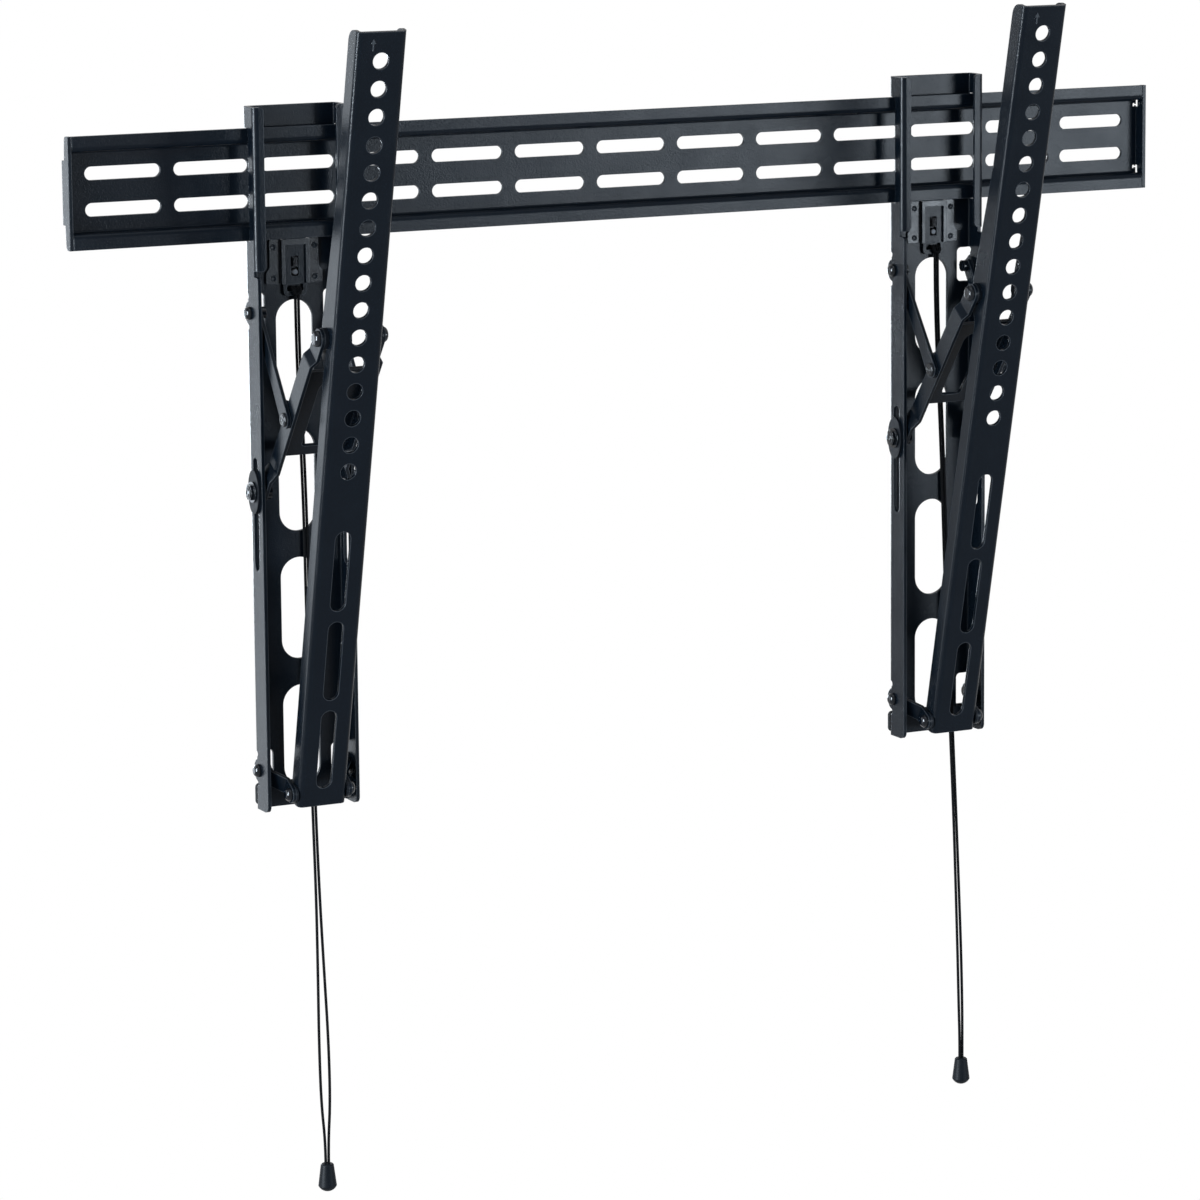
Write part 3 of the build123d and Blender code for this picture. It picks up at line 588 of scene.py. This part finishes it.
def arrow(x):
    """An upright arrow on the face of the arm whose middle is at x."""
    alone()
    base = (Vector((x + ARROW_ASIDE, 0, 0)) + ARM_FOOT + ARM_UP * (ARM_TOP - ARROW_DROP)) * MM
    lean = Matrix((Vector((1, 0, 0)), ARM_UP, ARM_OUT)).transposed().to_euler()
    bpy.ops.mesh.primitive_plane_add(size=STEM * MM, location=base, rotation=lean)
    bpy.ops.object.transform_apply(location=True, rotation=True, scale=True)
    obj = bpy.context.active_object
    bpy.ops.object.mode_set(mode="EDIT")
    bpy.ops.mesh.select_mode(type="EDGE")
    bpy.ops.mesh.select_all(action="DESELECT")
    bpy.ops.object.mode_set(mode="OBJECT")
    mesh = obj.data
    for edge in mesh.edges:
        middle = sum((mesh.vertices[v].co for v in edge.vertices), Vector()) / 2
        edge.select = (middle - base).dot(ARM_UP) > STEM / 4 * MM
    bpy.ops.object.mode_set(mode="EDIT")
    top = base + ARM_UP * (STEM / 2) * MM
    for rise, wider in ARROW_STEPS:
        bpy.ops.mesh.extrude_region_move(TRANSFORM_OT_translate={"value": ARM_UP * rise * MM})
        top = top + ARM_UP * rise * MM
        bpy.ops.transform.resize(value=(wider, wider, wider), center_override=top)
    bpy.ops.mesh.select_all(action="SELECT")
    bpy.ops.mesh.remove_doubles(threshold=1e-7)
    bpy.ops.mesh.extrude_region_move(TRANSFORM_OT_translate={"value": ARM_OUT * PROUD * MM})
    bpy.ops.object.mode_set(mode="OBJECT")
    return obj


for side, x0 in SIDES:
    mark = settle(arrow(x0), side + "_arm_arrow", "black_steel", side + "_screen_arm")
    print(mark.name, len(mark.data.polygons), "faces")

# %% [markdown]
# ## Floor and world
# The photograph's background is plain white. Here the floor and the world are white to the camera and in reflections,
# so the coated steel shows a white room at its edges, while the light that the world sheds on the pieces stays low.
# The floor still takes the shadow.


# %% Floor and world
def seen_white(tree, plain, shown, out):
    """Show one shader to camera, glossy and transmission rays, and the plain one to all other rays."""
    path = tree.nodes.new("ShaderNodeLightPath")
    first = tree.nodes.new("ShaderNodeMath")
    second = tree.nodes.new("ShaderNodeMath")
    first.operation = "MAXIMUM"
    second.operation = "MAXIMUM"
    mix = tree.nodes.new("ShaderNodeMixShader")
    wire(
        tree,
        (path, "Is Camera Ray", first, 0),
        (path, "Is Glossy Ray", first, 1),
        (first, "Value", second, 0),
        (path, "Is Transmission Ray", second, 1),
        (second, "Value", mix, "Fac"),
        (plain, 0, mix, 1),
        (shown, 0, mix, 2),
        (mix, "Shader", out, "Surface"),
    )


FLOOR_SIZE = 12.0
FLOOR_Z = -0.75
alone()
bpy.ops.mesh.primitive_plane_add(size=FLOOR_SIZE, location=(0, 0, FLOOR_Z))
floor = bpy.context.active_object
floor.name = "floor"
floor_mat = bpy.data.materials.new("floor")
floor_mat.use_nodes = True
tree = floor_mat.node_tree
paper = tree.nodes["Principled BSDF"]
paper.inputs["Base Color"].default_value = (0.85, 0.85, 0.85, 1)
paper.inputs["Roughness"].default_value = 0.9
glow = tree.nodes.new("ShaderNodeEmission")
glow.inputs["Strength"].default_value = 1.0
seen_white(tree, paper, glow, tree.nodes["Material Output"])
floor.data.materials.append(floor_mat)

world = bpy.data.worlds.new("studio")
world.use_nodes = True
bpy.context.scene.world = world
tree = world.node_tree
tree.nodes.clear()
dim = tree.nodes.new("ShaderNodeBackground")
dim.inputs["Color"].default_value = (0.90, 0.95, 1.0, 1)
dim.inputs["Strength"].default_value = 0.36
white = tree.nodes.new("ShaderNodeBackground")
white.inputs["Color"].default_value = (1, 1, 1, 1)
white.inputs["Strength"].default_value = 1.0
seen_white(tree, dim, white, tree.nodes.new("ShaderNodeOutputWorld"))
print("floor", tuple(floor.dimensions), "world", world.name)

# %% [markdown]
# ## Lights
# The photograph has soft studio light. A wide box on the left and one on the front right give the coat its slow
# sheen, the right one where the rail mirrors it. A narrow strip far out on the left draws a line along each fold and
# a point on each rivet, and it is hidden from diffuse rays, so that it changes no colour. A small box behind on the
# left gives the flanges that face left their grey. A low box behind, narrow enough to stay out of the flanges that
# face right, and a weak one above are for the back and the tops.

# %% Lights
LAMP_COLOUR = (0.80, 0.90, 1.0)
MIDST = (0, -0.05, -0.15)
# name, place, what it looks at, width, height, power
LAMPS = (
    ("left_box", (-2.4, -0.9, 0.2), MIDST, 0.9, 1.6, 60.0),
    ("left_strip", (-2.5, -0.25, 0.1), MIDST, 0.35, 1.8, 320.0),
    ("right_box", (1.7, -2.4, -0.17), (0.15, 0, 0), 1.2, 0.5, 56.0),
    ("back_box", (-0.75, 0.65, -0.20), (-0.22, -0.02, -0.20), 0.6, 0.9, 5.9),
    ("rear_box", (0.0, 2.4, -0.4), (0, 0, -0.1), 0.8, 0.5, 25.0),
    ("top_box", (0.0, -0.6, 2.2), (0, 0, -0.1), 1.6, 1.6, 15.0),
)


def soft_light(name, place, target, wide, tall, power):
    """A soft box of a width and a height that looks at a point and isn't seen itself."""
    data = bpy.data.lights.new(name, "AREA")
    data.shape = "RECTANGLE"
    data.size = wide
    data.size_y = tall
    data.energy = power
    data.color = LAMP_COLOUR
    lamp = bpy.data.objects.new(name, data)
    lamp.location = place
    way = Vector(target) - Vector(place)
    lamp.rotation_euler = way.to_track_quat("-Z", "Y").to_euler()
    lamp.visible_camera = False
    bpy.context.scene.collection.objects.link(lamp)
    return lamp


lamps = {row[0]: soft_light(*row) for row in LAMPS}
lamps["left_strip"].visible_diffuse = False
bpy.context.scene.view_settings.view_transform = "Standard"
print("lights", len(lamps))
